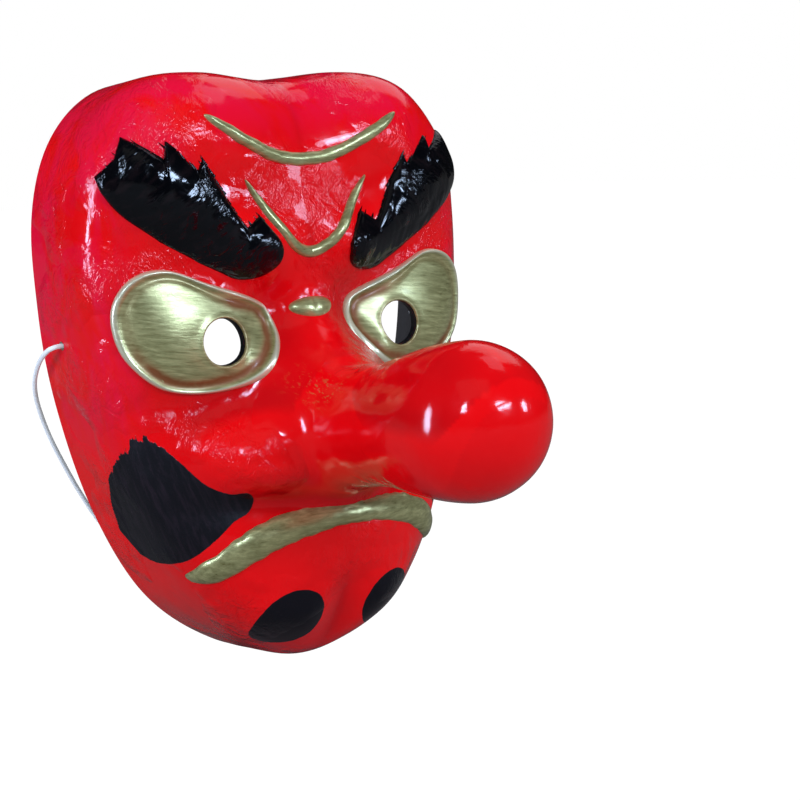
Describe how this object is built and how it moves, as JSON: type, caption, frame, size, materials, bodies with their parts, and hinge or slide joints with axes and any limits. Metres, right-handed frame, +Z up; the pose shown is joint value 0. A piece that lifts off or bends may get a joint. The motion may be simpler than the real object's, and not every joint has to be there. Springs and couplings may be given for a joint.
{
  "type": "long-nosed goblin face mask",
  "caption": "Red lacquered moulded paper face mask with a long club nose, raised black brows, gold eyes with see-through holes and a white head cord.",
  "frame": {"origin": "centre of the back rim's plane, midway between the side walls, where the wearer's face or a wall meets the mask", "axes": "+Z up, the face looks along -Y and the back rim lies at y = 0, +X to the right seen from the front of the mask"},
  "size_m": [0.1742, 0.1821, 0.2243],
  "materials": {
    "red_lacquer": "glossy red lacquer over moulded paper",
    "pasted_paper": "bare pasted paper",
    "black_gloss": "glossy black paint over moulded paper",
    "gold_paint": "brushed pale gold paint over moulded paper",
    "white_elastic": "matt white braided elastic"
  },
  "bodies": {
    "mask": {"face_shell": "red_lacquer", "nose_upper_half": "red_lacquer", "nose_lower_half": "red_lacquer", "nose_joint_band": "pasted_paper", "brow_left": "black_gloss", "brow_right": "black_gloss", "eye_left": "gold_paint", "eye_right": "gold_paint", "forehead_line_upper": "gold_paint", "forehead_line_lower": "gold_paint", "bridge_bead": "gold_paint", "mouth_line": "gold_paint"},
    "head_cord": {"cord_loop": "white_elastic", "cord_knot_left": "white_elastic", "cord_knot_right": "white_elastic"}
  },
  "joints": [
    {"name": "head_cord_swing", "type": "hinge", "parent": "mask", "child": "head_cord", "pos_m": [0, -0.015, 0.024], "axis": [1, 0, 0], "range_deg": [0, 90]}
  ]
}
